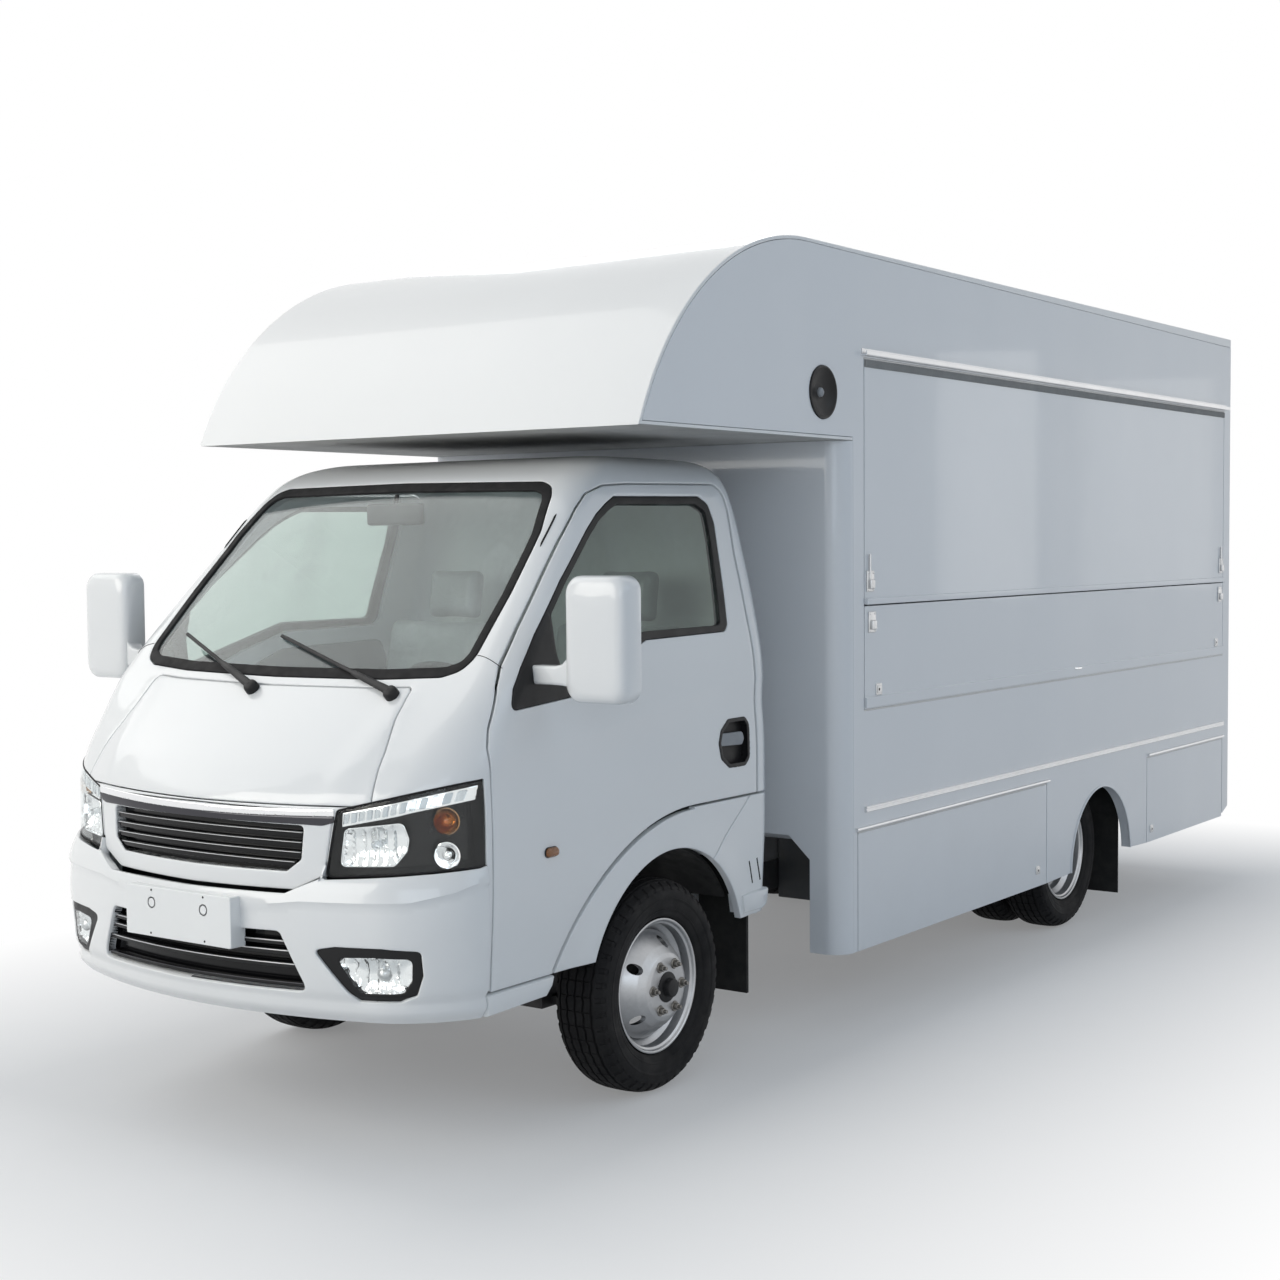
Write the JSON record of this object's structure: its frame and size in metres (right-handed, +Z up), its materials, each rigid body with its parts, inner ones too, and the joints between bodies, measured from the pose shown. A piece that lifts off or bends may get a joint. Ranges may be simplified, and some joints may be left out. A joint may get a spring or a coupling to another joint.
{
  "type": "food truck",
  "caption": "White food truck: small cab-over cab under a rounded box nose, with fold-up serving hatches, drop-down counters, skirt doors and twin rear wheels",
  "frame": {"origin": "on the ground under the middle of the truck's length and width", "axes": "-Y is the front, +X the vehicle's left side, +Z up"},
  "size_m": [2.204, 6.01, 2.655],
  "materials": {
    "chassis": "dark chassis paint",
    "cast": "plain cast metal",
    "exhaust": "dull steel",
    "tyre": "black rubber",
    "wheel": "silver wheel paint",
    "cab_paint": "gloss white paint",
    "bumper_paint": "gloss white paint on plastic",
    "box_panel": "gloss white sandwich panel",
    "box_floor": "checker plate on bearers",
    "glass": "clear glass",
    "lamp": "clear lens over a bright reflector",
    "tail_lamp": "red lens",
    "black_plastic": "black moulded plastic",
    "dash": "grey grained plastic",
    "seat": "grey cloth",
    "rubber": "black rubber"
  },
  "bodies": {
    "chassis": {"chassis_frame": "chassis", "front_suspension": "chassis", "rear_axle": "chassis", "leaf_springs": "chassis", "engine": "cast", "propshaft": "chassis", "fuel_tank": "black_plastic", "exhaust": "exhaust", "cab_shell": "cab_paint", "cab_floor": "black_plastic", "bonnet": "cab_paint", "windscreen": "glass", "headlamps": "lamp", "grille_surround": "cab_paint", "grille": "black_plastic", "bumper": "bumper_paint", "fog_lamps": "lamp", "intake": "black_plastic", "dashboard": "dash", "steering_wheel": "black_plastic", "seats": "seat", "wipers": "black_plastic", "mudguards": "rubber", "box_floor": "box_floor", "box_front_wall": "box_panel", "box_roof": "box_panel", "box_side_left": "box_panel", "box_side_right": "box_panel", "box_rear_wall": "box_panel", "speakers": "black_plastic", "rear_step": "chassis", "tail_lamps": "tail_lamp"},
    "knuckle_left": {"knuckle_left": "cast"},
    "knuckle_right": {"knuckle_right": "cast"},
    "wheel_front_left": {"tyre_front_left": "tyre", "wheel_front_left": "wheel"},
    "wheel_front_right": {"tyre_front_right": "tyre", "wheel_front_right": "wheel"},
    "wheel_rear_left": {"tyres_rear_left": "tyre", "wheel_rear_left": "wheel"},
    "wheel_rear_right": {"tyres_rear_right": "tyre", "wheel_rear_right": "wheel"},
    "door_left": {"door_left": "cab_paint", "door_glass_left": "glass", "mirror_left": "bumper_paint"},
    "door_right": {"door_right": "cab_paint", "door_glass_right": "glass", "mirror_right": "bumper_paint"},
    "hatch_left": {"hatch_left": "box_panel"},
    "hatch_right": {"hatch_right": "box_panel"},
    "counter_left": {"counter_left": "box_panel"},
    "counter_right": {"counter_right": "box_panel"},
    "skirt_front_left": {"skirt_front_left": "box_panel"},
    "skirt_front_right": {"skirt_front_right": "box_panel"},
    "skirt_rear_left": {"skirt_rear_left": "box_panel"},
    "skirt_rear_right": {"skirt_rear_right": "box_panel"},
    "rear_door": {"rear_door": "box_panel"}
  },
  "joints": [
    {"name": "steer_left", "type": "hinge", "parent": "chassis", "child": "knuckle_left", "pos_m": [0.6, -1.777, 0.327], "axis": [0, 0, 1], "range_deg": [-32, 32]},
    {"name": "spin_front_left", "type": "hinge", "parent": "knuckle_left", "child": "wheel_front_left", "pos_m": [0.685, -1.777, 0.327], "axis": [1, 0, 0], "continuous": true},
    {"name": "spin_rear_left", "type": "hinge", "parent": "chassis", "child": "wheel_rear_left", "pos_m": [0.593, 1.273, 0.327], "axis": [1, 0, 0], "continuous": true},
    {"name": "door_hinge_left", "type": "hinge", "parent": "chassis", "child": "door_left", "pos_m": [0.7945, -2.5995, 0.95], "axis": [0, 0, -1], "range_deg": [0, 65]},
    {"name": "hatch_hinge_left", "type": "hinge", "parent": "chassis", "child": "hatch_left", "pos_m": [0.9098, 1.063, 2.2955], "axis": [0, -1, 0], "range_deg": [0, 88]},
    {"name": "counter_hinge_left", "type": "hinge", "parent": "chassis", "child": "counter_left", "pos_m": [0.9098, 1.063, 1.099], "axis": [0, 1, 0], "range_deg": [0, 90]},
    {"name": "skirt_front_hinge_left", "type": "hinge", "parent": "chassis", "child": "skirt_front_left", "pos_m": [0.9098, -0.017, 0.684], "axis": [0, -1, 0], "range_deg": [0, 85]},
    {"name": "skirt_rear_hinge_left", "type": "hinge", "parent": "chassis", "child": "skirt_rear_left", "pos_m": [0.9098, 2.39, 0.684], "axis": [0, -1, 0], "range_deg": [0, 85]},
    {"name": "steer_right", "type": "hinge", "parent": "chassis", "child": "knuckle_right", "pos_m": [-0.6, -1.777, 0.327], "axis": [0, 0, 1], "range_deg": [-32, 32]},
    {"name": "spin_front_right", "type": "hinge", "parent": "knuckle_right", "child": "wheel_front_right", "pos_m": [-0.685, -1.777, 0.327], "axis": [1, 0, 0], "continuous": true},
    {"name": "spin_rear_right", "type": "hinge", "parent": "chassis", "child": "wheel_rear_right", "pos_m": [-0.593, 1.273, 0.327], "axis": [1, 0, 0], "continuous": true},
    {"name": "door_hinge_right", "type": "hinge", "parent": "chassis", "child": "door_right", "pos_m": [-0.7945, -2.5995, 0.95], "axis": [0, 0, 1], "range_deg": [0, 65]},
    {"name": "hatch_hinge_right", "type": "hinge", "parent": "chassis", "child": "hatch_right", "pos_m": [-0.9098, 1.063, 2.2955], "axis": [0, 1, 0], "range_deg": [0, 88]},
    {"name": "counter_hinge_right", "type": "hinge", "parent": "chassis", "child": "counter_right", "pos_m": [-0.9098, 1.063, 1.099], "axis": [0, -1, 0], "range_deg": [0, 90]},
    {"name": "skirt_front_hinge_right", "type": "hinge", "parent": "chassis", "child": "skirt_front_right", "pos_m": [-0.9098, -0.017, 0.684], "axis": [0, 1, 0], "range_deg": [0, 85]},
    {"name": "skirt_rear_hinge_right", "type": "hinge", "parent": "chassis", "child": "skirt_rear_right", "pos_m": [-0.9098, 2.39, 0.684], "axis": [0, 1, 0], "range_deg": [0, 85]},
    {"name": "rear_door_hinge", "type": "hinge", "parent": "chassis", "child": "rear_door", "pos_m": [-0.3625, 2.985, 1.5], "axis": [0, 0, 1], "range_deg": [0, 110]}
  ],
  "couplings": [
    {"joint": "steer_right", "follows": "steer_left", "ratio": 1}
  ]
}
